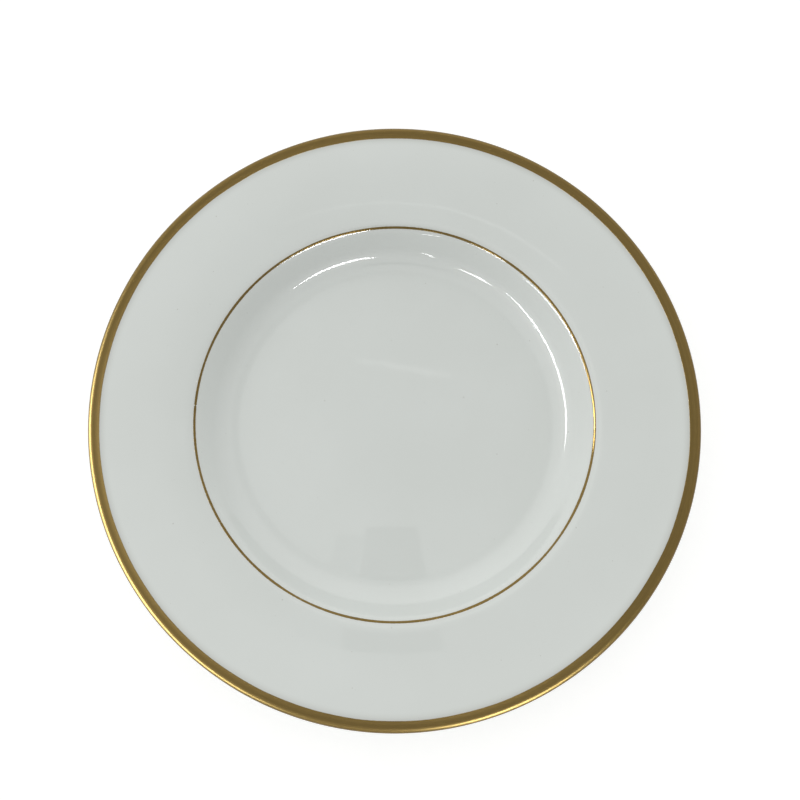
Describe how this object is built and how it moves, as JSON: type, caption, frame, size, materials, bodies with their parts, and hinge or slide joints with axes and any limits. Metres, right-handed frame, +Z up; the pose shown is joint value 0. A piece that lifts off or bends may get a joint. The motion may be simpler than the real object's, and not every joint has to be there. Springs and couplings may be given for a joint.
{
  "type": "china dinner plate",
  "caption": "Round dinner plate with a sunken flat well, a broad low rim, a foot ring, a gilded lip and a gilded verge line.",
  "frame": {"origin": "centre of the foot ring's contact plane", "axes": "+Z up along the plate's axis of turning; the plate is the same all round, so +X and +Y are free"},
  "size_m": [0.27, 0.27, 0.0229],
  "materials": {
    "bisque": "unglazed fired white china, ground smooth at the foot",
    "glaze": "clear glossy glaze over white china",
    "gold": "satin fired gold, brushed on round the plate"
  },
  "bodies": {
    "root": {"china_body": "bisque", "face_glaze": "glaze", "foot_recess_glaze": "glaze", "rim_gold_band": "gold", "verge_gold_line": "gold"}
  },
  "joints": []
}
